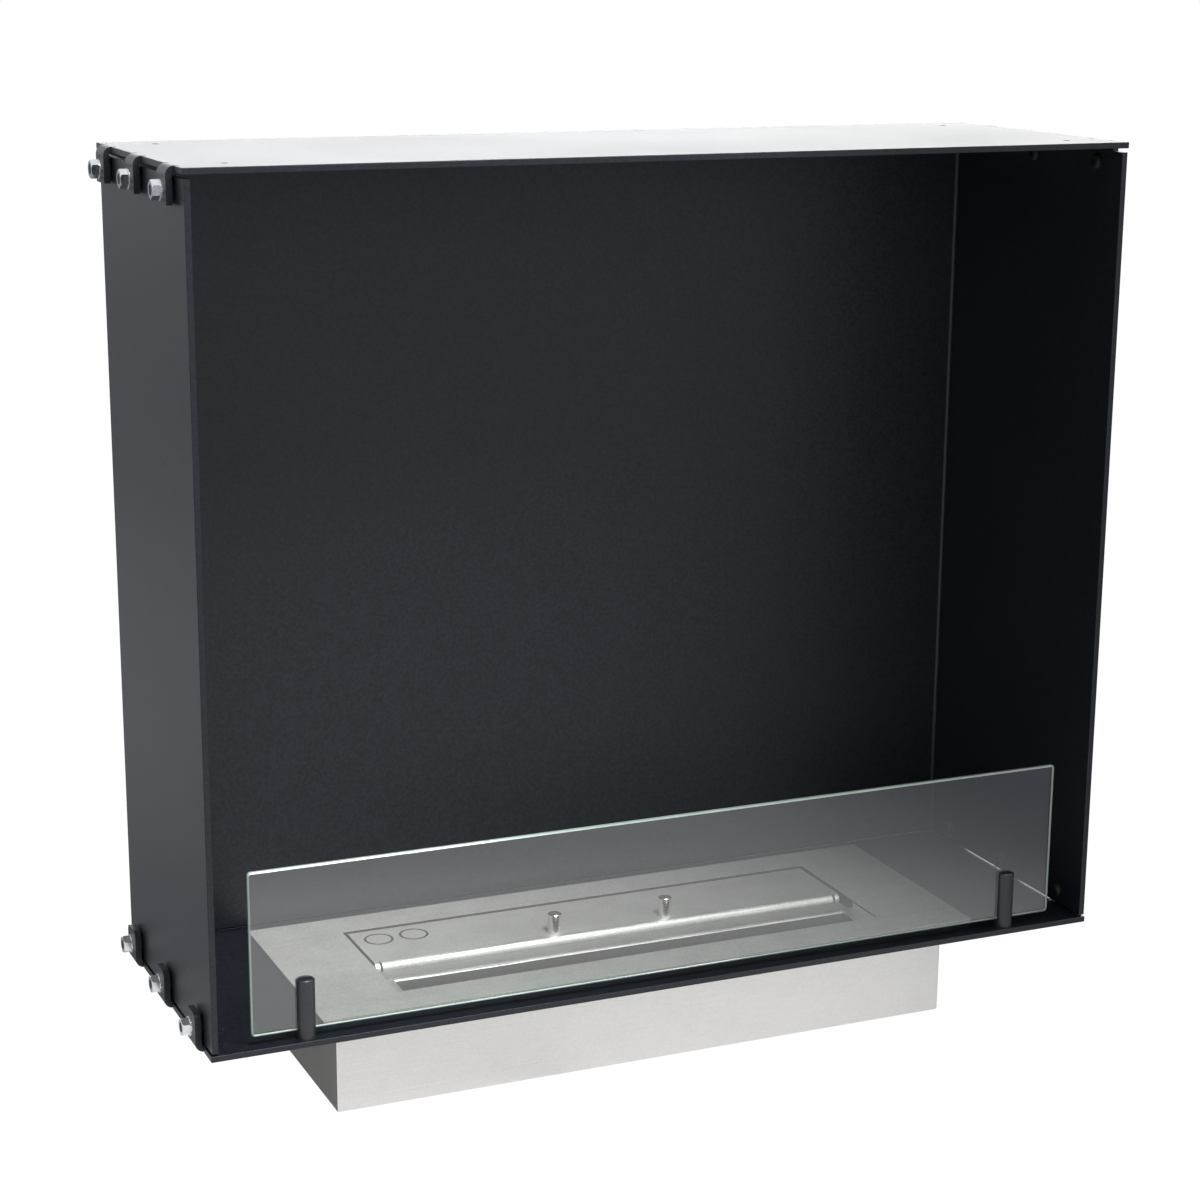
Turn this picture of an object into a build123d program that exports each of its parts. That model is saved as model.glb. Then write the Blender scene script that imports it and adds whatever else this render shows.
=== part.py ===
from build123d import *
import os

# Bioethanol fireplace, in millimetres. The origin is the centre of the four holes in the top
# panel, on its upper face. X runs to the right, Y to the back and Z up.

# Case: two lugged panels bolted to one sheet that is folded round the back and both sides.
case_width = 800.0
case_depth = 264.0
case_height = 685.0
panel_sheet = 5.0
wrap_sheet = 5.0
wrap_inset = 1.0
wrap_top_gap = 3.2
wrap_floor_gap = 2.2
wrap_bend_inside = 3.0
panel_edge_radius = 0.6

# Lugs, folded from both ends of each panel.
lug_width = 25.0
lug_spacing = 95.5
lugs_per_end = 3
lug_gap = 2.0
top_lug_height = 28.5
bottom_lug_height = 32.0
lug_bend_inside = 2.0
bottom_lug_corner = 6.0
top_lug_corner = 0.8
relief_width = 3.0
relief_depth = 3.0

# Lug hardware: M8 button head bolts with plain washers and hexagon nuts.
bolt_diameter = 8.0
bolt_length = 20.0
bolt_from_panel = 18.0
bolt_end_chamfer = 0.8
bolt_hole_clearance = 0.4
bolt_head_diameter = 14.0
bolt_head_height = 4.4
bolt_head_rounding = 3.2
bolt_socket_flats = 5.0
bolt_socket_depth = 2.6
washer_diameter = 16.0
washer_thickness = 1.6
nut_flats = 13.0
nut_height = 6.5
nut_chamfer = 0.8
thread_clearance = 0.05

# Four holes in the top panel, one near each corner.
top_hole_diameter = 6.0
top_hole_from_end = 40.0
top_hole_from_front = 32.0

# Glass pane and the two slotted posts that hold it.
glass_from_end = 35.0
glass_height = 136.0
glass_thickness = 5.0
glass_corner = 1.5
glass_from_front = 10.0
post_from_glass_end = 44.5
post_diameter = 16.0
post_height = 50.0
post_slot_depth = 43.0
post_chamfer = 0.8
glass_clearance = 0.3
post_screw_diameter = 6.0
post_screw_length = 10.0
post_screw_head_diameter = 12.0
post_screw_socket_flats = 4.0
post_screw_socket_depth = 2.2
post_screw_hole_clearance = 0.4
post_thread_spare = 1.0

# Burner: a flanged plate on the floor panel, with the housing and the fuel tank under it.
body_gap = 0.3
burner_setback = 31.5
plate_width = 600.0
plate_depth = 215.0
plate_sheet = 2.0
plate_corner = 1.0
opening_width = 450.0
opening_depth = 144.5
housing_width = 565.5
housing_depth = 176.0
housing_hang = 85.0
housing_bend = 2.0
housing_cutout_clearance = 2.0
cutout_corner = 4.0
burner_sheet = 1.5
weld_gap = 0.1

# Tank cover: a tray under the plate's opening, with the flame slot in its front half.
cover_drop = 8.0
cover_rim_setback = 1.5
slot_width = 427.0
slot_depth = 30.0
slot_from_opening = 10.5
slot_bend_outside = 8.0
slot_flange_depth = 16.0
tank_height = 60.0
wool_height = 34.0
wool_rounding = 4.0

# Sliding lid, a shallow tray that stands on the tank cover, with two studs to push it by.
lid_depth = 78.5
lid_side_gap = 2.0
lid_recess = 0.5
lid_front_bend = 6.5
lid_edge_bend = 2.0
lid_notch_width = 2.0
lid_notch_from_end = 6.5
stud_diameter = 12.0
stud_height = 17.0
stud_spacing = 106.0
stud_from_lid_front = 14.0
stud_chamfer = 0.5
stud_thread_diameter = 5.0
stud_thread_end = 0.5
stud_hole_clearance = 0.15
stud_nut_flats = 8.0
stud_nut_height = 2.7
stud_nut_chamfer = 0.5

# Engraved rings at the left rear of the lid.
ring_outside = 25.0
ring_groove = 1.2
ring_groove_depth = 0.2
ring_count = 2
ring_pitch = 32.0
ring_from_lid_end = 22.5
ring_from_lid_rear = 23.25

# Levels and places that follow from the sizes above.
top_hole_spacing_x = case_width - 2 * top_hole_from_end
top_hole_spacing_y = case_depth - 2 * top_hole_from_front
glass_width = case_width - 2 * glass_from_end
post_spacing = glass_width - 2 * post_from_glass_end
underside_z = -case_height
floor_z = underside_z + panel_sheet
front_y = -case_depth / 2
glass_y = front_y + glass_from_front
glass_bottom_z = floor_z + post_height - post_slot_depth + body_gap
burner_y = front_y + burner_setback + plate_depth / 2
plate_bottom_z = floor_z + body_gap
plate_top_z = plate_bottom_z + plate_sheet
cover_z = plate_top_z - cover_drop
opening_front_y = burner_y - opening_depth / 2
opening_rear_y = burner_y + opening_depth / 2
slot_y = opening_front_y + slot_from_opening + slot_depth / 2
rim_width = opening_width + 2 * (cover_rim_setback + burner_sheet)
rim_depth = opening_depth + 2 * (cover_rim_setback + burner_sheet)
tank_width = rim_width + 2 * (weld_gap + burner_sheet)
tank_depth = rim_depth + 2 * (weld_gap + burner_sheet)
tank_floor_z = plate_bottom_z - tank_height + burner_sheet
lid_width = opening_width - 2 * lid_side_gap
lid_top_z = plate_top_z - lid_recess
lid_height = lid_top_z - cover_z - body_gap
lid_rear_y = opening_rear_y - lid_side_gap
stud_y = lid_rear_y - lid_depth + stud_from_lid_front
lug_rows = [(i - (lugs_per_end - 1) / 2) * lug_spacing for i in range(lugs_per_end)]
bolt_levels = (-bolt_from_panel, underside_z + bolt_from_panel)
wrap_outside_x = case_width / 2 - wrap_inset
wrap_inside_x = wrap_outside_x - wrap_sheet
lug_inside_x = wrap_outside_x + lug_gap
lug_outside_x = lug_inside_x + panel_sheet
HALF_TURN = 180.0
QUARTER_TURN = 90.0
ends = {"left": HALF_TURN, "right": 0.0}


def block(x_size, y_size, z_low, z_high, x=0.0, y=0.0):
    """Box centred on x, y between two levels."""
    return Pos(x, y, (z_low + z_high) / 2) * Box(x_size, y_size, z_high - z_low)


def rounded_block(x_size, y_size, z_low, z_high, radius, x=0.0, y=0.0):
    """Block whose four upright edges are rounded."""
    solid = block(x_size, y_size, z_low, z_high, x, y)
    return fillet(solid.edges().filter_by(Axis.Z), radius)


def upright_rod(radius, z_low, z_high, x=0.0, y=0.0):
    return Pos(x, y, (z_low + z_high) / 2) * Cylinder(radius, z_high - z_low)


def cross_rod(radius, x_low, x_high, y=0.0, z=0.0):
    """Cylinder along X."""
    turned = Rot(0, QUARTER_TURN, 0) * Cylinder(radius, x_high - x_low)
    return Pos((x_low + x_high) / 2, y, z) * turned


def hexagon(flats, height):
    """Hexagonal prism along Z, standing on Z = 0."""
    return extrude(RegularPolygon(flats / 2, side_count=6, major_radius=False), amount=height)


def hexagon_nut(flats, height, hole_radius, corner_chamfer):
    """Nut along Z whose six corners are turned off at both faces."""
    prism = hexagon(flats, height)
    corner = prism.vertices()[0]
    turned = upright_rod(Vector(corner.X, corner.Y).length, 0, height)
    turned = chamfer(turned.faces().filter_by(Axis.Z).edges(), corner_chamfer)
    return (turned & prism) - upright_rod(hole_radius, 0, height)


def write(node, solids):
    """One file for a node, of one piece or of a group of like pieces."""
    shape = solids if not isinstance(solids, list) else Compound(children=solids)
    shape.label = node
    export_step(shape, f"parts/{node}.step")


# Panels


def lug(height, corner):
    """One folded lug at the right end, centred on Y = 0, for a panel with its face at Z = 0."""
    bend_outside = lug_bend_inside + panel_sheet
    root_x = lug_outside_x - bend_outside
    outer_arc = CenterArc((root_x, -bend_outside), bend_outside, 0, QUARTER_TURN)
    inner_arc = CenterArc((root_x, -bend_outside), lug_bend_inside, 0, QUARTER_TURN)
    start_x = root_x - relief_depth
    across = Polyline((root_x, 0), (start_x, 0), (start_x, -panel_sheet), (root_x, -panel_sheet))
    down = Polyline(
        (lug_outside_x, -bend_outside),
        (lug_outside_x, -height),
        (lug_inside_x, -height),
        (lug_inside_x, -bend_outside),
    )
    outline = [*outer_arc.edges(), *inner_arc.edges(), *across.edges(), *down.edges()]
    section = Plane.XZ * make_face(outline)
    strip = extrude(section, amount=lug_width / 2, both=True)
    lower_edges = strip.edges().filter_by(Axis.X).group_by(Axis.Z)[0]
    return fillet(lower_edges, corner)


def panel(lug_height, lug_corner):
    """Panel with its outer face at Z = 0 and its lugs folded down."""
    plate = block(case_width, case_depth, -panel_sheet, 0)
    plate = fillet(plate.edges(), panel_edge_radius)
    relief_x = lug_outside_x - lug_bend_inside - panel_sheet - relief_depth
    relief_span = case_width / 2 - relief_x
    one_lug = lug(lug_height, lug_corner)
    hole_radius = bolt_diameter / 2 + bolt_hole_clearance
    for turn in ends.values():
        for y in lug_rows:
            room = block(
                2 * relief_span, lug_width + 2 * relief_width, -panel_sheet, 0, case_width / 2, y
            )
            hole = cross_rod(hole_radius, lug_inside_x, lug_outside_x, y, -bolt_from_panel)
            joined = Pos(0, y, 0) * one_lug - hole
            plate = plate - Rot(0, 0, turn) * room + Rot(0, 0, turn) * joined
    return plate


def top_panel():
    plate = panel(top_lug_height, top_lug_corner)
    for x in (-top_hole_spacing_x / 2, top_hole_spacing_x / 2):
        for y in (-top_hole_spacing_y / 2, top_hole_spacing_y / 2):
            plate -= upright_rod(top_hole_diameter / 2, -panel_sheet, 0, x, y)
    return plate


def screw_head(radius, shank_radius, z_low, x=0.0, y=0.0):
    """Countersunk head, a right-angled cone that stands on its wide face at z_low."""
    height = radius - shank_radius
    return Pos(x, y, z_low + height / 2) * Cone(radius, shank_radius, height)


def bottom_panel():
    """The same panel turned over, with the burner's cut-out and the posts' screw holes."""
    plate = Pos(0, 0, underside_z) * Rot(HALF_TURN, 0, 0) * panel(bottom_lug_height, bottom_lug_corner)
    plate -= rounded_block(
        housing_width + 2 * housing_cutout_clearance,
        housing_depth + 2 * housing_cutout_clearance,
        underside_z,
        floor_z,
        cutout_corner,
        0,
        burner_y,
    )
    shank_radius = post_screw_diameter / 2
    for x in (-post_spacing / 2, post_spacing / 2):
        hole_radius = shank_radius + post_screw_hole_clearance
        plate -= upright_rod(hole_radius, underside_z, floor_z, x, glass_y)
        plate -= screw_head(
            post_screw_head_diameter / 2 + post_screw_hole_clearance, hole_radius, underside_z, x, glass_y
        )
    return plate


# Back and sides


def case_wrap():
    """One sheet folded to a U, open to the front, with a row of bolt holes at each edge."""
    side_x = case_width / 2 - wrap_inset - wrap_sheet / 2
    back_y = case_depth / 2 - wrap_sheet / 2
    line = FilletPolyline(
        (-side_x, front_y),
        (-side_x, back_y),
        (side_x, back_y),
        (side_x, front_y),
        radius=wrap_bend_inside + wrap_sheet / 2,
    )
    low_z = floor_z + wrap_floor_gap
    high_z = -panel_sheet - wrap_top_gap
    sheet = Pos(0, 0, low_z) * extrude(trace(line, line_width=wrap_sheet), amount=high_z - low_z)
    front_edges = sheet.edges().filter_by(Axis.Z).group_by(Axis.Y)[0]
    sheet = fillet(front_edges, panel_edge_radius)
    hole_radius = bolt_diameter / 2 + bolt_hole_clearance
    for y in lug_rows:
        for z in bolt_levels:
            sheet -= cross_rod(hole_radius, -case_width / 2, case_width / 2, y, z)
    return sheet


# Lug hardware, made for the right end about the bolt's own axis


def lug_bolt():
    """Bolt from inside the case, with its head against the wrap."""
    end_x = wrap_inside_x + bolt_length
    shank = cross_rod(bolt_diameter / 2, wrap_inside_x, end_x)
    shank = chamfer(shank.edges().sort_by(Axis.X)[-1], bolt_end_chamfer)
    head_x = wrap_inside_x - bolt_head_height
    head = cross_rod(bolt_head_diameter / 2, head_x, wrap_inside_x)
    head = fillet(head.faces().sort_by(Axis.X)[0].edges(), bolt_head_rounding)
    socket = Pos(head_x, 0, 0) * Rot(0, QUARTER_TURN, 0) * hexagon(bolt_socket_flats, bolt_socket_depth)
    return shank + head - socket


def ring(x_low, thickness):
    """Plain washer on the bolt."""
    outside = cross_rod(washer_diameter / 2, x_low, x_low + thickness)
    return outside - cross_rod(bolt_diameter / 2 + bolt_hole_clearance, x_low, x_low + thickness)


def lug_nut():
    nut = hexagon_nut(nut_flats, nut_height, bolt_diameter / 2 + thread_clearance, nut_chamfer)
    return Pos(lug_outside_x + washer_thickness, 0, 0) * Rot(0, QUARTER_TURN, 0) * nut


def along_the_lugs(piece, turn):
    """Copies of a piece at the six bolts of one end."""
    return [
        Rot(0, 0, turn) * Pos(0, y, z) * piece
        for z in bolt_levels
        for y in lug_rows
    ]


# Glass and its posts


def glass_pane():
    pane = block(glass_width, glass_thickness, glass_bottom_z, glass_bottom_z + glass_height, 0, glass_y)
    return fillet(pane.edges().filter_by(Axis.Y), glass_corner)


def glass_post(x):
    """Round bar with a slot across its top for the pane and a blind thread in its foot."""
    top_z = floor_z + post_height
    bar = upright_rod(post_diameter / 2, floor_z, top_z, x, glass_y)
    bar = chamfer(bar.faces().sort_by(Axis.Z)[-1].edges(), post_chamfer)
    slot_width_across = glass_thickness + 2 * glass_clearance
    bar -= block(post_diameter, slot_width_across, top_z - post_slot_depth, top_z, x, glass_y)
    thread_top_z = underside_z + post_screw_length + post_thread_spare
    thread_radius = post_screw_diameter / 2 + thread_clearance
    return bar - upright_rod(thread_radius, floor_z, thread_top_z, x, glass_y)


def post_screw(x):
    """Countersunk socket screw, flush with the underside of the bottom panel."""
    shank_radius = post_screw_diameter / 2
    shank = upright_rod(shank_radius, underside_z, underside_z + post_screw_length, x, glass_y)
    head = screw_head(post_screw_head_diameter / 2, shank_radius, underside_z, x, glass_y)
    socket = Pos(x, glass_y, underside_z) * hexagon(post_screw_socket_flats, post_screw_socket_depth)
    return shank + head - socket


# Burner


def burner_plate():
    plate = rounded_block(plate_width, plate_depth, plate_bottom_z, plate_top_z, plate_corner, 0, burner_y)
    return plate - block(opening_width, opening_depth, plate_bottom_z, plate_top_z, 0, burner_y)


def open_box(x_size, y_size, z_low, z_high, sheet, bend):
    """Sheet box, open at the top, with rounded upright and lower edges."""
    outside = block(x_size, y_size, z_low, z_high, 0, burner_y)
    rounded = outside.edges().filter_by(Axis.Z) + outside.faces().sort_by(Axis.Z)[0].edges()
    outside = fillet(rounded, bend)
    return outside - block(x_size - 2 * sheet, y_size - 2 * sheet, z_low + sheet, z_high, 0, burner_y)


def burner_housing():
    low_z = underside_z - housing_hang
    return open_box(housing_width, housing_depth, low_z, plate_bottom_z, burner_sheet, housing_bend)


def fuel_tank():
    low_z = plate_bottom_z - tank_height
    return open_box(tank_width, tank_depth, low_z, plate_bottom_z, burner_sheet, burner_sheet)


def slot_flange(edge_y, toward):
    """Long edge of the flame slot, rolled down from the cover; toward is the way to the slot."""
    bend_inside = slot_bend_outside - burner_sheet
    centre_y = edge_y - toward * slot_bend_outside
    centre_z = cover_z - slot_bend_outside
    quarter_y = centre_y + toward * slot_bend_outside / 2
    quarter = block(slot_width, slot_bend_outside, centre_z, cover_z, 0, quarter_y)
    rolled = cross_rod(slot_bend_outside, -slot_width / 2, slot_width / 2, centre_y, centre_z)
    hollow = cross_rod(bend_inside, -slot_width / 2, slot_width / 2, centre_y, centre_z)
    lip = (rolled & quarter) - hollow
    skirt_y = edge_y - toward * burner_sheet / 2
    return lip + block(slot_width, burner_sheet, cover_z - slot_flange_depth, centre_z, 0, skirt_y)


def tank_cover():
    """Tray welded under the plate: a rim, a flat deck and the flame slot with its rolled edges."""
    tray = block(rim_width, rim_depth, cover_z - burner_sheet, plate_bottom_z, 0, burner_y)
    tray -= block(
        rim_width - 2 * burner_sheet, rim_depth - 2 * burner_sheet, cover_z, plate_bottom_z, 0, burner_y
    )
    rolled_depth = slot_depth + 2 * slot_bend_outside
    tray -= block(slot_width, rolled_depth, cover_z - burner_sheet, cover_z, 0, slot_y)
    tray += slot_flange(slot_y - slot_depth / 2, 1)
    return tray + slot_flange(slot_y + slot_depth / 2, -1)


def wool_pad():
    """Block of absorbent ceramic wool that fills the lower part of the tank."""
    inside_width = tank_width - 2 * burner_sheet - 2 * body_gap
    inside_depth = tank_depth - 2 * burner_sheet - 2 * body_gap
    low_z = tank_floor_z + body_gap
    pad = block(inside_width, inside_depth, low_z, low_z + wool_height, 0, burner_y)
    return fillet(pad.edges(), wool_rounding)


# Sliding lid


def lid_block(inset):
    """The lid's outline, rolled at the front and folded at the back, drawn in by inset."""
    front_y_inset = lid_rear_y - lid_depth + inset
    rear_y_inset = lid_rear_y - inset
    foot_z = lid_top_z - lid_height
    line = FilletPolyline(
        (front_y_inset, foot_z),
        (front_y_inset, lid_top_z - inset),
        (rear_y_inset, lid_top_z - inset),
        (rear_y_inset, foot_z),
        radius=(lid_front_bend - inset, lid_edge_bend - inset),
    )
    foot = Line(line @ 1, line @ 0)
    section = Plane.YZ * make_face([*line.edges(), *foot.edges()])
    return extrude(section, amount=lid_width / 2 - inset, both=True)


def slide_lid():
    """Shallow tray, open below, with a slit beside each end of the rolled front edge."""
    lid = lid_block(0) - lid_block(burner_sheet)
    lid_front_y = lid_rear_y - lid_depth
    slit_x = lid_width / 2 - lid_notch_from_end
    thread_radius = stud_thread_diameter / 2 + stud_hole_clearance
    for side in (-1, 1):
        lid -= block(
            lid_notch_width,
            2 * lid_front_bend,
            lid_top_z - lid_height,
            lid_top_z,
            side * slit_x,
            lid_front_y,
        )
        lid -= upright_rod(
            thread_radius, lid_top_z - burner_sheet, lid_top_z, side * stud_spacing / 2, stud_y
        )
    for i in range(ring_count):
        x = -lid_width / 2 + ring_from_lid_end + i * ring_pitch
        y = lid_rear_y - ring_from_lid_rear
        disc = upright_rod(ring_outside / 2, lid_top_z - ring_groove_depth, lid_top_z, x, y)
        core = upright_rod(ring_outside / 2 - ring_groove, lid_top_z - ring_groove_depth, lid_top_z, x, y)
        lid -= disc - core
    return lid


def lid_stud(x):
    """Turned stud with a shoulder on the lid and a thread through it."""
    pin = upright_rod(stud_diameter / 2, lid_top_z, lid_top_z + stud_height, x, stud_y)
    pin = chamfer(pin.faces().sort_by(Axis.Z)[-1].edges(), stud_chamfer)
    thread_low_z = lid_top_z - burner_sheet - stud_nut_height - stud_thread_end
    return pin + upright_rod(stud_thread_diameter / 2, thread_low_z, lid_top_z, x, stud_y)


def lid_stud_nut(x):
    hole_radius = stud_thread_diameter / 2 + thread_clearance
    nut = hexagon_nut(stud_nut_flats, stud_nut_height, hole_radius, stud_nut_chamfer)
    return Pos(x, stud_y, lid_top_z - burner_sheet - stud_nut_height) * nut


nodes = {
    "top_panel": top_panel(),
    "bottom_panel": bottom_panel(),
    "case_wrap": case_wrap(),
    "glass_pane": glass_pane(),
    "glass_post_left": glass_post(-post_spacing / 2),
    "glass_post_right": glass_post(post_spacing / 2),
    "post_screws": [post_screw(-post_spacing / 2), post_screw(post_spacing / 2)],
    "burner_plate": burner_plate(),
    "burner_housing": burner_housing(),
    "fuel_tank": fuel_tank(),
    "tank_cover": tank_cover(),
    "wool_pad": wool_pad(),
    "slide_lid": slide_lid(),
    "lid_stud_left": lid_stud(-stud_spacing / 2),
    "lid_stud_right": lid_stud(stud_spacing / 2),
    "lid_stud_nuts": [lid_stud_nut(-stud_spacing / 2), lid_stud_nut(stud_spacing / 2)],
}
for side, turn in ends.items():
    nodes[f"lug_bolts_{side}"] = along_the_lugs(lug_bolt(), turn)
    nodes[f"lug_spacers_{side}"] = along_the_lugs(ring(wrap_outside_x, lug_gap), turn)
    nodes[f"lug_washers_{side}"] = along_the_lugs(ring(lug_outside_x, washer_thickness), turn)
    nodes[f"lug_nuts_{side}"] = along_the_lugs(lug_nut(), turn)

os.makedirs("parts", exist_ok=True)
for node, solids in nodes.items():
    write(node, solids)
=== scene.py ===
import math

import bmesh
import bpy
from mathutils import Matrix, Vector, noise


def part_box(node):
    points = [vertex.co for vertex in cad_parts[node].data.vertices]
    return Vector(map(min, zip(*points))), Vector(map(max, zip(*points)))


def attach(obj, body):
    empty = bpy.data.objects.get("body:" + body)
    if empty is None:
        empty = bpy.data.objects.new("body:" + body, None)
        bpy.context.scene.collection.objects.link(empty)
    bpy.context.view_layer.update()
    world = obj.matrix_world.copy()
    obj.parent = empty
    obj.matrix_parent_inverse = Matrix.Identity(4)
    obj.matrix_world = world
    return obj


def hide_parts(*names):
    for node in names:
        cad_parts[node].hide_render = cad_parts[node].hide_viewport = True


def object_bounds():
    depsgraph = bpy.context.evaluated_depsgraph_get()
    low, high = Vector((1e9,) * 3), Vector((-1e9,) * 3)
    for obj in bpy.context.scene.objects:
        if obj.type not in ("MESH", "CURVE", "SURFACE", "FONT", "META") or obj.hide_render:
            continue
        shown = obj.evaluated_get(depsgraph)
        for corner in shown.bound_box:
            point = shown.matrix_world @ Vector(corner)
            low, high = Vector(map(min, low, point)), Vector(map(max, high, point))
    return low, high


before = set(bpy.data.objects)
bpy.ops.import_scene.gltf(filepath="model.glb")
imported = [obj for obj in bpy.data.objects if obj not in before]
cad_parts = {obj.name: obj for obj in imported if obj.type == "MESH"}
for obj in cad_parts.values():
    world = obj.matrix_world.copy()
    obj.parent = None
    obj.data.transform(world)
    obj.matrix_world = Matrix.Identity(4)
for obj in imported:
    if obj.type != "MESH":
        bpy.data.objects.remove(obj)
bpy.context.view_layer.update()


# Case. Two laser-cut steel panels lie above and below one sheet that is folded round the back
# and both sides. All three are sprayed with a fine-textured black powder coat and baked.


class Layer:
    """A node's output, so that maths on it reads as plain arithmetic."""

    def __init__(self, nodes, socket):
        self.nodes = nodes
        self.socket = socket

    def maths(self, operation, left, right):
        return self.nodes.node("ShaderNodeMath", {"operation": operation}, {0: left, 1: right})

    def __add__(self, other):
        return self.maths("ADD", self, other)

    def __radd__(self, other):
        return self.maths("ADD", other, self)

    def __sub__(self, other):
        return self.maths("SUBTRACT", self, other)

    def __rsub__(self, other):
        return self.maths("SUBTRACT", other, self)

    def __mul__(self, other):
        return self.maths("MULTIPLY", self, other)

    def __rmul__(self, other):
        return self.maths("MULTIPLY", other, self)

    def __gt__(self, other):
        return self.maths("GREATER_THAN", self, other)

    def __lt__(self, other):
        return self.maths("LESS_THAN", self, other)


class Nodes:
    """A node tree in the making."""

    def __init__(self, tree):
        self.tree = tree
        tree.nodes.clear()

    def node(self, kind, settings, sockets, output=0):
        """One node: its settings first, then each socket's value, its link, or its list of links."""
        made = self.tree.nodes.new(kind)
        for name, value in settings.items():
            setattr(made, name, value)
        for key, value in sockets.items():
            for each in value if isinstance(value, list) else (value,):
                if isinstance(each, Layer):
                    self.tree.links.new(each.socket, made.inputs[key])
                else:
                    made.inputs[key].default_value = each
        return Layer(self, made.outputs[output])

    def end(self, kind, last):
        """The node that closes the tree."""
        self.tree.links.new(last.socket, self.tree.nodes.new(kind).inputs[0])


class Finish(Nodes):
    """A material in the making: its nodes, and last its surface."""

    def __init__(self, name):
        self.material = bpy.data.materials.new(name)
        self.material.use_nodes = True
        super().__init__(self.material.node_tree)

    def metres(self):
        """Each point's place on the fireplace."""
        return self.node("ShaderNodeTexCoord", {}, {}, "Object")

    def noise(self, grains, detail=2.0):
        """Noise with about so many grains to the metre, alike each way or given for each axis."""
        each_way = grains if isinstance(grains, tuple) else (grains,) * 3
        place = self.node("ShaderNodeMapping", {}, {"Vector": self.metres(), "Scale": each_way})
        return self.node("ShaderNodeTexNoise", {}, {"Vector": place, "Scale": 1.0, "Detail": detail})

    def tint(self, mask, low, high):
        """Colour from low to high as the mask goes from 0 to 1."""
        return self.node("ShaderNodeMix", {"data_type": "RGBA"}, {0: mask, 6: low, 7: high}, 2)

    def bump(self, height, strength, depth):
        """Normal of a relief that is so many metres deep."""
        return self.node(
            "ShaderNodeBump", {}, {"Height": height, "Strength": strength, "Distance": depth}, "Normal"
        )

    def surface(self, **sockets):
        """Principled shader as the material's surface. A socket's blanks are written as _."""
        named = {key.replace("_", " "): value for key, value in sockets.items()}
        self.end("ShaderNodeOutputMaterial", self.node("ShaderNodeBsdfPrincipled", {}, named))
        return self.material


def dress(node, material):
    """Gives a CAD node its material."""
    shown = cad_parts[node]
    shown.data.materials.clear()
    shown.data.materials.append(material)


def powder_coat(name, dark, light, grain_size, roughness, relief):
    """Thermoset powder: a fine orange peel with a still finer sand in it, and flecks of colour."""
    coat = Finish(name)
    peel = coat.noise(1 / grain_size, 3.0)
    sand = coat.noise(2.6 / grain_size, 1.0)
    fleck = coat.noise(0.7 / grain_size, 1.0)
    drift = coat.noise(5.0, 3.0)
    return coat.surface(
        Base_Color=coat.tint(0.3 * drift + 1.7 * fleck - 0.5, dark, light),
        Roughness=roughness + 0.06 * peel + 0.06 * drift,
        Normal=coat.bump(peel + 0.5 * sand, relief, 0.0003),
    )


case_coat = powder_coat(
    "black_powder_coat",
    dark=(0.002, 0.003, 0.006, 1),
    light=(0.018, 0.024, 0.036, 1),
    grain_size=0.0016,
    roughness=0.36,
    relief=0.06,
)
for node in ("top_panel", "bottom_panel", "case_wrap"):
    dress(node, case_coat)


# Lug hardware. Blackened M8 button head bolts pass from inside through the wrap, a spacer and
# each lug, and are closed outside by bright zinc-plated washers and hexagon nuts.

blackened = Finish("blackened_steel")
rub = blackened.noise(700)
blackened_steel = blackened.surface(
    Base_Color=blackened.tint(rub, (0.006, 0.006, 0.007, 1), (0.02, 0.02, 0.022, 1)),
    Roughness=0.45 + 0.2 * rub,
    Specular_IOR_Level=0.35,
    Normal=blackened.bump(rub, 0.2, 0.0001),
)

zinc = Finish("bright_zinc_plate")
spangle = zinc.noise(400, 3.0)
zinc_plate = zinc.surface(
    Base_Color=zinc.tint(spangle, (0.62, 0.63, 0.65, 1), (0.8, 0.81, 0.82, 1)),
    Metallic=1.0,
    Roughness=0.1 + 0.1 * spangle,
    Normal=zinc.bump(spangle, 0.04, 0.0001),
)
for side in ("left", "right"):
    dress(f"lug_bolts_{side}", blackened_steel)
    dress(f"lug_spacers_{side}", blackened_steel)
    dress(f"lug_washers_{side}", zinc_plate)
    dress(f"lug_nuts_{side}", zinc_plate)


# Glass posts. Two turned bars, sprayed satin black, stand on the floor panel, each held by a
# countersunk screw from below. A slot across the top takes the pane.

post_coat = powder_coat(
    "satin_black_coat",
    dark=(0.026, 0.03, 0.036, 1),
    light=(0.046, 0.051, 0.06, 1),
    grain_size=0.0012,
    roughness=0.3,
    relief=0.09,
)
dress("glass_post_left", post_coat)
dress("glass_post_right", post_coat)
dress("post_screws", blackened_steel)


# Glass. A 5 mm toughened float pane with seamed arrises and polished edges, which gather the
# glass's own green. It only stands in the slots of the posts.


def ray(nodes, kind):
    """1 for rays of one kind, 0 for others."""
    return nodes.node("ShaderNodeLightPath", {}, {}, f"Is {kind} Ray")


# The pane's faces shine a little more than plain float glass, whose index is 1.52. Light that
# passes on its way to or from other surfaces goes straight through, with the glass's own tint.
glass = Finish("clear_float_glass")
clear = glass.node(
    "ShaderNodeBsdfPrincipled",
    {},
    {
        "Base Color": (0.97, 0.99, 0.98, 1),
        "Roughness": 0.0,
        "IOR": 1.76,
        "Transmission Weight": 1.0,
    },
)
from_other = ray(glass, "Shadow") + ray(glass, "Diffuse") + ray(glass, "Glossy") - ray(glass, "Transmission")
straight = glass.node("ShaderNodeBsdfTransparent", {}, {"Color": (0.93, 0.96, 0.945, 1)})
pane_shader = glass.node("ShaderNodeMixShader", {}, {0: from_other, 1: clear, 2: straight})
glass.end("ShaderNodeOutputMaterial", pane_shader)

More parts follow.
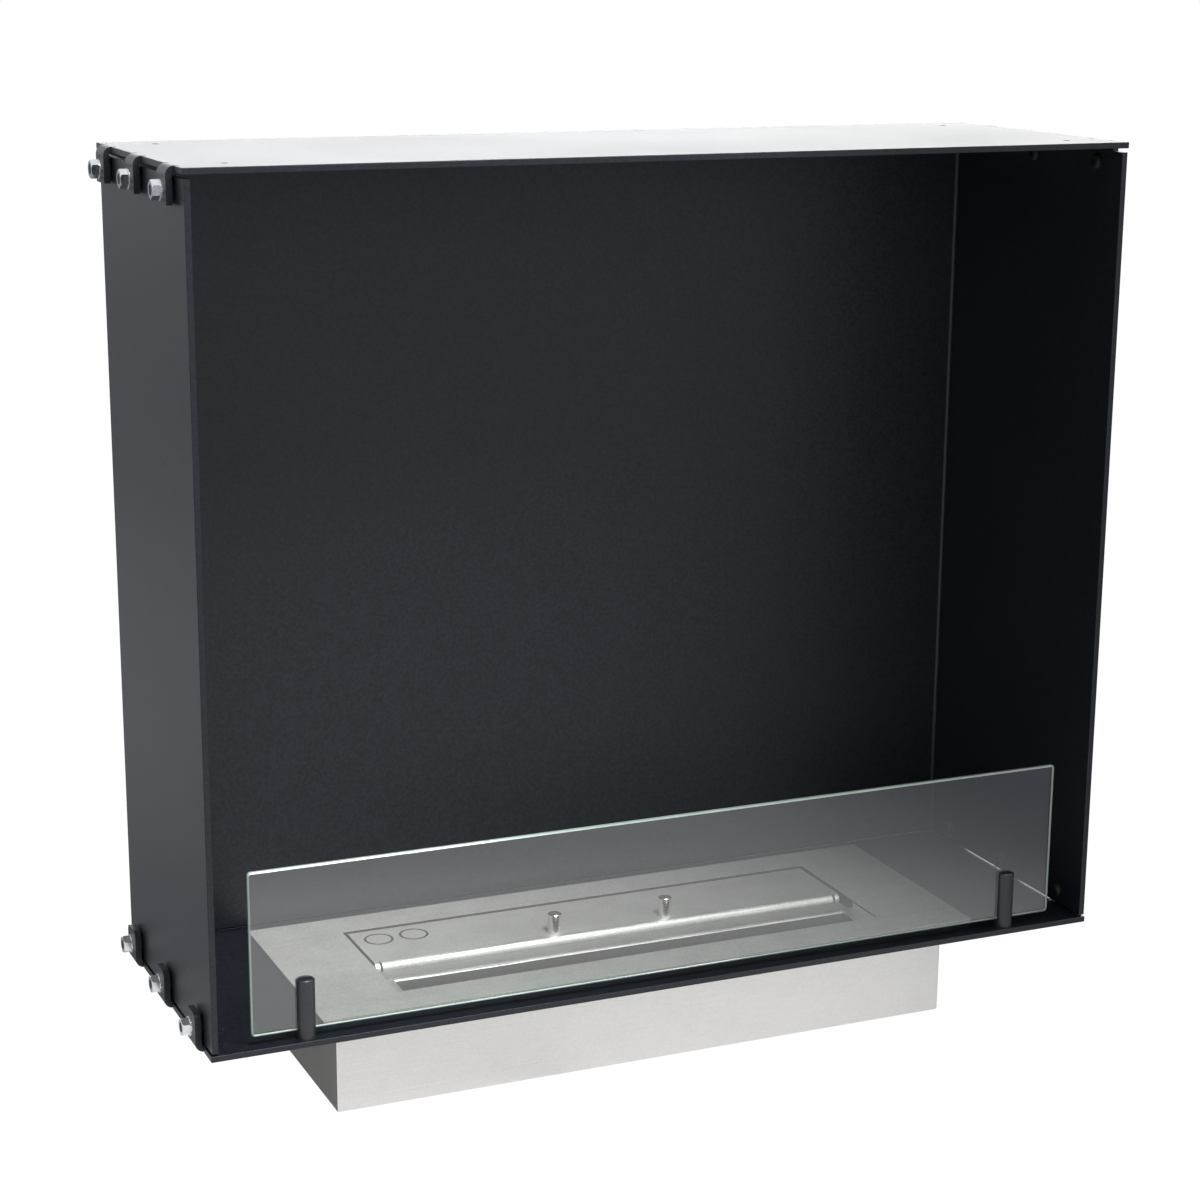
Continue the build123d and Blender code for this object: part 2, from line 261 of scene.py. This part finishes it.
edge = Finish("polished_glass_edge")
ripple = edge.noise(60)
glass_edge = edge.surface(
    Base_Color=edge.tint(ripple, (0.50, 0.68, 0.60, 1), (0.78, 0.92, 0.85, 1)),
    Roughness=0.12 + 0.12 * ripple,
    Coat_Weight=0.6,
    Normal=edge.bump(ripple, 0.1, 0.0002),
)


def own_piece(name, mesh, materials):
    """Object of a mesh that is already in its place."""
    piece = bpy.data.objects.new(name, mesh)
    for material in materials:
        mesh.materials.append(material)
    bpy.context.scene.collection.objects.link(piece)
    return piece


def block(middle, size):
    """Box of plain faces, as a start."""
    shape = bmesh.new()
    place = Matrix.Translation(middle) @ Matrix.Diagonal((*size, 1))
    bmesh.ops.create_cube(shape, size=1.0, matrix=place)
    return shape


def rounded(shape, edges, radius, segments):
    """Rounds edges, or takes them off in one flat where there is only one segment."""
    bmesh.ops.bevel(shape, geom=edges, offset=radius, segments=segments, profile=0.5, affect="EDGES")


def glass_mesh(arris, corner):
    """Plate in the CAD pane's box, with rounded corners and every arris taken off."""
    low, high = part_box("glass_pane")
    size = high - low
    shape = block((low + high) / 2, size)
    through = [e for e in shape.edges if abs((e.verts[0].co - e.verts[1].co).y) > size.y / 2]
    rounded(shape, through, corner, 5)
    rim = [e for e in shape.edges if abs((e.verts[0].co - e.verts[1].co).y) < size.y / 4]
    rounded(shape, rim, arris, 1)
    for face in shape.faces:
        front_or_back = abs(face.normal.y) > 0.9
        face.material_index = 0 if front_or_back else 1
    mesh = bpy.data.meshes.new("glass_pane_polished")
    shape.to_mesh(mesh)
    shape.free()
    return mesh


pane_mesh = glass_mesh(arris=0.0012, corner=0.003)
pane = own_piece("glass_pane_polished", pane_mesh, (glass.material, glass_edge))
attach(pane, "glass")
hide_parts("glass_pane")


# Burner. A flanged plate of brushed stainless lies on the floor panel, and a housing of the
# same sheet is folded, welded at its corners and hung under it through the cut-out.


def brushed_steel(name, dark, light, grain, roughness, metal, relief=0.8, shade_and_marks=None, fold=None):
    """Stainless sheet, linished in one direction: streaks, clouds, painted shade and dark marks, and brighter
    folds.
    """
    steel = Finish(name)
    fine = steel.noise(grain)
    broad = steel.noise(tuple(grains / 6 for grains in grain))
    cloud = steel.noise(30, 4.0)
    speck = steel.noise(560, 3.0)
    bare = steel.tint(0.3 * fine + 0.3 * broad + 0.9 * cloud + 1.5 * speck - 1.0, dark, light)
    shade_and_mark_amount = shade_and_marks(steel) if shade_and_marks else 0.0
    fold_metal = 0.9
    metallic = metal + (fold_metal - metal) * fold(steel) if fold else metal
    # Where the mask is 1 the steel turns near-black: painted shade, and on the lid also its engraved rings.
    return steel.surface(
        Base_Color=steel.tint(shade_and_mark_amount, bare, (0.03, 0.029, 0.027, 1)),
        Metallic=metallic * (1.0 - shade_and_mark_amount),
        Roughness=roughness + 0.12 * fine + 0.1 * cloud + 0.3 * shade_and_mark_amount,
        Normal=steel.bump(fine + 0.5 * broad, relief, 0.0004),
    )


def along(steel, axis):
    """The place along one axis, in metres."""
    return steel.node("ShaderNodeSeparateXYZ", {}, {"Vector": steel.metres()}, axis)


def within(steel, axis, low, high):
    """1 between two places along an axis, 0 elsewhere."""
    place = along(steel, axis)
    return (place > low) * (place < high)


plate_low, plate_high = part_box("burner_plate")
housing_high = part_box("burner_housing")[1]
cover_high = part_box("tank_cover")[1]
lid_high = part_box("slide_lid")[1]
opening_width, opening_depth = 0.45, 0.1445
deck_front = -0.0172  # inside the bend that turns the cover's deck down into the slot
hair = 0.00002  # slack beside a cut edge, or between two faces


def opening_edge_shade(steel):
    """Painted shade, 1 on the cut edge of the plate's opening and 0 on its flat."""
    half_x, half_y = opening_width / 2 + hair, opening_depth / 2 + hair
    middle = (plate_low.y + plate_high.y) / 2
    return within(steel, "X", -half_x, half_x) * within(steel, "Y", middle - half_y, middle + half_y)


def cover_shade(steel):
    """Painted shade: 1 in the slot, its tank and the gap round the lid, half under the lid, 0 on the slot's
    lip.
    """
    lip_below_rim, end_gap, rear_gap = 0.0079, 0.0015, 0.00075
    upper = along(steel, "Z") > cover_high.z - lip_below_rim
    deck = along(steel, "Y") > deck_front
    lid_end = lid_high.x - end_gap
    under_lid = within(steel, "X", -lid_end, lid_end) * (along(steel, "Y") < lid_high.y - rear_gap)
    return 1.0 - upper + upper * deck * (1.0 - 0.45 * under_lid)


def housing_end_shade(steel):
    """Painted shade on the housing's ends."""
    end = housing_high.x - 0.00035
    return 0.75 - 0.75 * within(steel, "X", -end, end)


def cover_fold(steel):
    """1 on the slot's bent rear edge."""
    return along(steel, "Y") < deck_front


sheet_dark, sheet_light = (0.64, 0.63, 0.61, 1), (0.92, 0.91, 0.89, 1)
sheet_grain = (12, 1400, 1400)  # long streaks from left to right
plate_steel = brushed_steel(
    "plate_stainless",
    sheet_dark,
    sheet_light,
    sheet_grain,
    roughness=0.32,
    metal=0.35,
    shade_and_marks=opening_edge_shade,
)
# The housing is the plate's sheet, but its colour is painted lighter, as painted light.
housing_steel_painted_lighter = brushed_steel(
    "housing_stainless_painted_lighter",
    dark=(0.9, 0.89, 0.87, 1),
    light=(0.99, 0.98, 0.96, 1),
    grain=(12, 900, 900),
    roughness=0.3,
    metal=0.6,
    shade_and_marks=housing_end_shade,
)
cover_steel = brushed_steel(
    "cover_stainless",
    sheet_dark,
    sheet_light,
    sheet_grain,
    roughness=0.32,
    metal=0.4,
    shade_and_marks=cover_shade,
    fold=cover_fold,
)
dress("burner_plate", plate_steel)
dress("burner_housing", housing_steel_painted_lighter)
dress("fuel_tank", cover_steel)
dress("tank_cover", cover_steel)


# Wool. A block cut from white ceramic fibre blanket fills the lower part of the tank and soaks
# up the fuel. Its top crowns a little between the tank's walls, and loose strands lie on it.

wool = Finish("ceramic_wool")
layer = wool.noise((70, 70, 700), 3.0)
clump = wool.noise(90, 4.0)
wool_white = wool.surface(
    Base_Color=wool.tint(0.5 * layer + 0.5 * clump, (0.6, 0.59, 0.55, 1), (0.9, 0.89, 0.86, 1)),
    Roughness=0.95,
    Normal=wool.bump(layer + clump, 0.7, 0.0012),
)


def wool_block(crown, pull, lump, step):
    """The pad's block: softened edges, a crowned top, and sides that pull in between corners."""
    edge_radius, lumps_per_metre, nap_margin = 0.004, 45, 0.014
    low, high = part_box("wool_pad")
    middle = (low + high) / 2
    half = (high - low) / 2
    shape = block(middle, 2 * half)
    rounded(shape, list(shape.edges), edge_radius, 3)
    for axis in range(3):
        across = Vector([float(i == axis) for i in range(3)])
        for cut in range(1, math.ceil(2 * half[axis] / step)):
            bmesh.ops.bisect_plane(
                shape,
                geom=list(shape.verts) + list(shape.edges) + list(shape.faces),
                plane_co=low + across * cut * step,
                plane_no=across,
            )
    bmesh.ops.remove_doubles(shape, verts=list(shape.verts), dist=0.00005)
    nap = shape.verts.layers.float.new("nap")
    for vertex in shape.verts:
        place = [(vertex.co[i] - middle[i]) / half[i] for i in range(3)]
        fullness = (1 - place[0] ** 4) * (1 - place[1] ** 4)
        upper = max(0.0, place[2])
        rise = crown * (fullness - 1) + lump * (noise.noise(vertex.co * lumps_per_metre) - 1) * fullness
        vertex.co.z += upper * rise
        vertex.co.y -= pull * place[1] * (1 - place[0] ** 4) * (1 - place[2] ** 2)
        vertex.co.x -= pull * place[0] * (1 - place[1] ** 4) * (1 - place[2] ** 2)
        inland = min(half[i] - abs(place[i]) * half[i] for i in (0, 1)) > nap_margin
        on_top = place[2] > 0.9
        vertex[nap] = float(inland and on_top)
    bmesh.ops.recalc_face_normals(shape, faces=list(shape.faces))
    for face in shape.faces:
        face.smooth = True
    mesh = bpy.data.meshes.new("ceramic_wool_block")
    shape.to_mesh(mesh)
    shape.free()
    return mesh


def strand_tree():
    """Scatters bent strands over the part of a mesh where its nap attribute is 1."""
    group = bpy.data.node_groups.new("loose_strands", "GeometryNodeTree")
    for name, kind in (
        ("Geometry", "NodeSocketGeometry"),
        ("Strands per m2", "NodeSocketFloat"),
        ("Length", "NodeSocketFloat"),
        ("Radius", "NodeSocketFloat"),
        ("Seed", "NodeSocketInt"),
        ("Material", "NodeSocketMaterial"),
    ):
        group.interface.new_socket(name, in_out="INPUT", socket_type=kind)
    group.interface.new_socket("Geometry", in_out="OUTPUT", socket_type="NodeSocketGeometry")
    tree = Nodes(group)

    def given(name):
        return tree.node("NodeGroupInput", {}, {}, name)

    nap = tree.node("GeometryNodeInputNamedAttribute", {"data_type": "FLOAT"}, {"Name": "nap"}, "Attribute")
    points = tree.node(
        "GeometryNodeDistributePointsOnFaces",
        {},
        {"Mesh": given("Geometry"), "Density": nap * given("Strands per m2"), "Seed": given("Seed")},
        "Points",
    )
    # A strand one metre long arches a little and has its ends in the wool, before it is sized.
    bend = tree.node(
        "GeometryNodeCurveQuadraticBezier",
        {},
        {"Resolution": 4, "Start": (-0.5, 0.0, -0.02), "Middle": (0.0, 0.25, 0.13), "End": (0.5, 0.0, -0.02)},
        "Curve",
    )
    sized = tree.node("GeometryNodeTransform", {}, {"Geometry": bend, "Scale": given("Length")}, "Geometry")
    thread = tree.node(
        "GeometryNodeCurvePrimitiveCircle", {}, {"Resolution": 3, "Radius": given("Radius")}, "Curve"
    )
    strand = tree.node("GeometryNodeCurveToMesh", {}, {"Curve": sized, "Profile Curve": thread}, "Mesh")
    tilt = 0.12
    turn = tree.node(
        "FunctionNodeRandomValue",
        {"data_type": "FLOAT_VECTOR"},
        {"Min": (-tilt, -tilt, 0.0), "Max": (tilt, tilt, 2 * math.pi), "Seed": given("Seed")},
        "Value",
    )
    # Sockets 2 and 3 and output 1 are the node's plain numbers.
    size = tree.node(
        "FunctionNodeRandomValue", {"data_type": "FLOAT"}, {2: 0.5, 3: 1.0, "Seed": given("Seed")}, 1
    )
    laid = tree.node(
        "GeometryNodeInstanceOnPoints",
        {},
        {"Points": points, "Instance": strand, "Rotation": turn, "Scale": size},
        "Instances",
    )
    loose = tree.node("GeometryNodeRealizeInstances", {}, {"Geometry": laid}, "Geometry")
    joined = tree.node("GeometryNodeJoinGeometry", {}, {"Geometry": [given("Geometry"), loose]}, "Geometry")
    coloured = tree.node(
        "GeometryNodeSetMaterial", {}, {"Geometry": joined, "Material": given("Material")}, "Geometry"
    )
    tree.end("NodeGroupOutput", coloured)
    return group


def grow(piece, group, settings):
    """Runs a node group on the piece and keeps the result as its one plain mesh."""
    modifier = piece.modifiers.new(group.name, "NODES")
    modifier.node_group = group
    for socket in group.interface.items_tree:
        if socket.in_out == "INPUT" and socket.name in settings:
            modifier[socket.identifier] = settings[socket.name]
    evaluated = piece.evaluated_get(bpy.context.evaluated_depsgraph_get())
    mesh = bpy.data.meshes.new_from_object(evaluated)
    piece.modifiers.remove(modifier)
    piece.data = mesh
    mesh.name = piece.name


pad_mesh = wool_block(crown=0.003, pull=0.001, lump=0.0012, step=0.006)
pad = own_piece("ceramic_wool_block", pad_mesh, (wool_white,))
strands = {"Strands per m2": 60000.0, "Length": 0.012, "Radius": 0.00012, "Seed": 7, "Material": wool_white}
grow(pad, strand_tree(), strands)
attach(pad, "burner")
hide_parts("wool_pad")


# Lid. A shallow stainless tray, rolled at the front and folded at the rear, slides on the tank
# cover to close the slot. Two turned studs are nutted through it to push it by.

ring_places, ring_y = (-0.2005, -0.1685), 0.054
ring_inner, ring_outer = 0.0107, 0.0129


def metres_from(finish, point):
    """Distance from one point."""
    places = {0: finish.metres(), 1: point}
    return finish.node("ShaderNodeVectorMath", {"operation": "DISTANCE"}, places, "Value")


def lid_shade_and_rings(steel):
    """1 in the two engraved rings, and as painted shade on the folds at the lid's rear and ends."""
    end_fold, rear_fold = 0.0013, 0.00145
    end, rear = lid_high.x - end_fold, lid_high.y - rear_fold
    dark = 1.0 - within(steel, "X", -end, end) * (along(steel, "Y") < rear)
    for ring_x in ring_places:
        radius = metres_from(steel, (ring_x, ring_y, lid_high.z))
        dark = dark + (radius > ring_inner) * (radius < ring_outer)
    return dark


def lid_fold(steel):
    """1 on the rolled front, which lies below the lid's flat."""
    return along(steel, "Z") < lid_high.z - 0.0001


lid_steel = brushed_steel(
    "lid_stainless",
    sheet_dark,
    sheet_light,
    sheet_grain,
    roughness=0.32,
    metal=0.35,
    shade_and_marks=lid_shade_and_rings,
    fold=lid_fold,
)
dress("slide_lid", lid_steel)
turned_steel = brushed_steel(
    "turned_stainless",
    dark=(0.7, 0.69, 0.68, 1),
    light=(0.9, 0.89, 0.88, 1),
    grain=(40, 40, 2500),
    roughness=0.0,
    metal=1.0,
    relief=0.1,
)
for node in ("lid_stud_left", "lid_stud_right", "lid_stud_nuts"):
    dress(node, turned_steel)


# Studio. A pale floor lies just under the burner, in a white surround with three soft boxes.
# Mirrors see a painted pool of light on the floor in front of the case, and painted shade round it.
# Black cards stand as painted shade in the narrow gap under the wrap's back and right side, and one more
# shades the case's right half.

floor_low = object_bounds()[0].z
ground = Finish("pale_floor")
paper = ground.noise(3)
matt = ground.node(
    "ShaderNodeBsdfPrincipled",
    {},
    {"Base Color": ground.tint(paper, (0.78, 0.78, 0.78, 1), (0.82, 0.82, 0.82, 1)), "Roughness": 0.9},
)


def pool(x, y, inner, outer):
    """1 round a place on the floor, falling softly to 0."""
    away = metres_from(ground, (x, y, floor_low))
    return ground.node(
        "ShaderNodeMapRange",
        {"interpolation_type": "SMOOTHSTEP"},
        {"Value": away, "From Min": inner, "From Max": outer, "To Min": 1.0, "To Max": 0.0},
    )


# Seen straight on or through the glass, the floor is white. In mirrors it is painted grey shade,
# but for a painted white pool of light just before the case and a bluish one farther out.
white = 0.98 * (ray(ground, "Camera") + ray(ground, "Transmission"))
pool_behind = pool(x=-1.0, y=1.4, inner=0.5, outer=1.4)
pool_far = pool(x=0.45, y=-2.9, inner=0.3, outer=1.5)
pool_near = pool(x=-0.15, y=-0.48, inner=0.45, outer=0.9)
mirrored_shade = ground.tint(pool_behind, (0.28, 0.30, 0.34, 1), (0.52, 0.54, 0.57, 1))
far = ground.tint(pool_far, mirrored_shade, (1.0, 1.08, 1.2, 1))
near = ground.tint(pool_near, far, (1.04, 1.04, 1.04, 1))
glow = ground.tint(white, near, (1.06, 1.06, 1.06, 1))
bright = ground.node("ShaderNodeEmission", {}, {"Color": glow, "Strength": 1.0})
lit = white + ray(ground, "Glossy")
floor_shader = ground.node("ShaderNodeMixShader", {}, {0: lit, 1: matt, 2: bright})
ground.end("ShaderNodeOutputMaterial", floor_shader)

sheet = bmesh.new()
under_burner = Matrix.Translation((0, 0, floor_low - 0.0005))
bmesh.ops.create_grid(sheet, x_segments=1, y_segments=1, size=12.0, matrix=under_burner)
floor_mesh = bpy.data.meshes.new("studio_floor")
sheet.to_mesh(floor_mesh)
sheet.free()
floor = own_piece("studio_floor", floor_mesh, (ground.material,))

velvet = Finish("black_velvet")
velvet_pile = velvet.noise(900)
velvet_black = velvet.surface(
    Base_Color=velvet.tint(velvet_pile, (0.002, 0.002, 0.002, 1), (0.008, 0.008, 0.008, 1)),
    Roughness=1.0,
    Specular_IOR_Level=0.0,
)


def card(name, corners):
    """Black card of four corners."""
    shape = bmesh.new()
    shape.faces.new([shape.verts.new(corner) for corner in corners])
    mesh = bpy.data.meshes.new(name)
    shape.to_mesh(mesh)
    shape.free()
    made = own_piece(name, mesh, (velvet_black,))
    return made


# The cards under the wrap are painted shade, black sheets in the middle of its sheet on the floor panel.
# The one between the right side's outer lugs leaves a slit below, where a thin line of light comes through.
wrap_low, wrap_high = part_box("case_wrap")
panel_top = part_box("glass_post_left")[0].z
half_sheet = 0.0025
right, rear = wrap_high.x - half_sheet, wrap_high.y - half_sheet
lug_edge, slit = 0.083, 0.00045
past_corner, from_front = 0.002, 0.001
for name, start, end, clear_of_panel in (
    ("rear_foot_card", (-right - past_corner, rear), (right + past_corner, rear), hair),
    ("right_rear_foot_card", (right, lug_edge), (right, rear - half_sheet), hair),
    ("right_foot_card", (right, -lug_edge), (right, lug_edge), slit),
    ("right_front_foot_card", (right, wrap_low.y + from_front), (right, -lug_edge), hair),
):
    low, high = panel_top + clear_of_panel, wrap_low.z - hair
    card(name, ((*start, low), (*end, low), (*end, high), (*start, high)))

world = bpy.data.worlds.new("white_surround")
world.use_nodes = True
bpy.context.scene.world = world
sky = Nodes(world.node_tree)
shown = ray(sky, "Camera") + ray(sky, "Glossy") + ray(sky, "Transmission")
level = sky.node("ShaderNodeMapRange", {}, {"Value": shown, "To Min": 0.18, "To Max": 1.0}, "Result")
backdrop = sky.node("ShaderNodeBackground", {}, {"Color": (1, 1, 1, 1), "Strength": level})
sky.end("ShaderNodeOutputWorld", backdrop)

case_middle = Vector((0, 0, -0.4))


def softbox(name, azimuth, elevation, distance, width, height, power):
    """Lamp that faces the middle of the case, at angles in degrees from its open front."""
    turn, rise = math.radians(azimuth), math.radians(elevation)
    outward = Vector((math.sin(turn) * math.cos(rise), -math.cos(turn) * math.cos(rise), math.sin(rise)))
    light = bpy.data.lights.new(name, "AREA")
    light.shape = "RECTANGLE"
    light.size = width
    light.size_y = height
    light.energy = power
    lamp = bpy.data.objects.new(name, light)
    lamp.location = case_middle + distance * outward
    lamp.rotation_mode = "QUATERNION"
    lamp.rotation_quaternion = (-outward).to_track_quat("-Z", "Y")
    bpy.context.scene.collection.objects.link(lamp)
    return lamp


key = softbox("key_softbox", azimuth=15, elevation=60, distance=3.2, width=1.3, height=1.3, power=92)
softbox("side_softbox", azimuth=60, elevation=40, distance=3.2, width=2.4, height=1.3, power=6)
softbox("rear_softbox", azimuth=155, elevation=7, distance=8.0, width=6.0, height=1.8, power=275)

# The key's card hangs in its light, seen only by shadow rays, and shades the case's right half.
shaded_from_x, way_to_lamp, reach = 0.07, 0.22, 0.9
hung = [
    (case_middle + Vector((shaded_from_x + x, y, 0))).lerp(key.location, way_to_lamp)
    for x, y in ((0, -reach), (reach, -reach), (reach, reach), (0, reach))
]
key_card = card("key_card", hung)
for kind in ("camera", "diffuse", "glossy", "transmission"):
    setattr(key_card, "visible_" + kind, False)


# Camera. It stands to the left of the open front and looks a little down. Its place, angles and
# lens were worked out from the straight edges of the case in the photograph.

frame_pixels, focal_pixels = 1200, 2623.8
film_width = 36.0
yaw, pitch, roll = math.radians(23.527), math.radians(14.861), math.radians(0.38)
camera_place = (-0.8808, -1.9738, 0.1537)
forward = Vector((math.sin(yaw) * math.cos(pitch), math.cos(yaw) * math.cos(pitch), -math.sin(pitch)))
level_right = Vector((math.cos(yaw), -math.sin(yaw), 0))
upward = level_right.cross(forward)
rolled_right = math.cos(roll) * level_right + math.sin(roll) * upward
rolled_up = math.cos(roll) * upward - math.sin(roll) * level_right
lens = bpy.data.cameras.new("photo_camera")
lens.sensor_width = film_width
lens.lens = focal_pixels / frame_pixels * film_width
lens.shift_x = 0.0048  # the lens's middle lies a little off the photograph's
lens.shift_y = 0.0352
camera = bpy.data.objects.new("photo_camera", lens)
turned = Matrix((rolled_right, rolled_up, -forward)).transposed().to_4x4()
camera.matrix_world = Matrix.Translation(camera_place) @ turned
bpy.context.scene.collection.objects.link(camera)
bpy.context.scene.camera = camera

bpy.context.scene.view_settings.view_transform = "Standard"
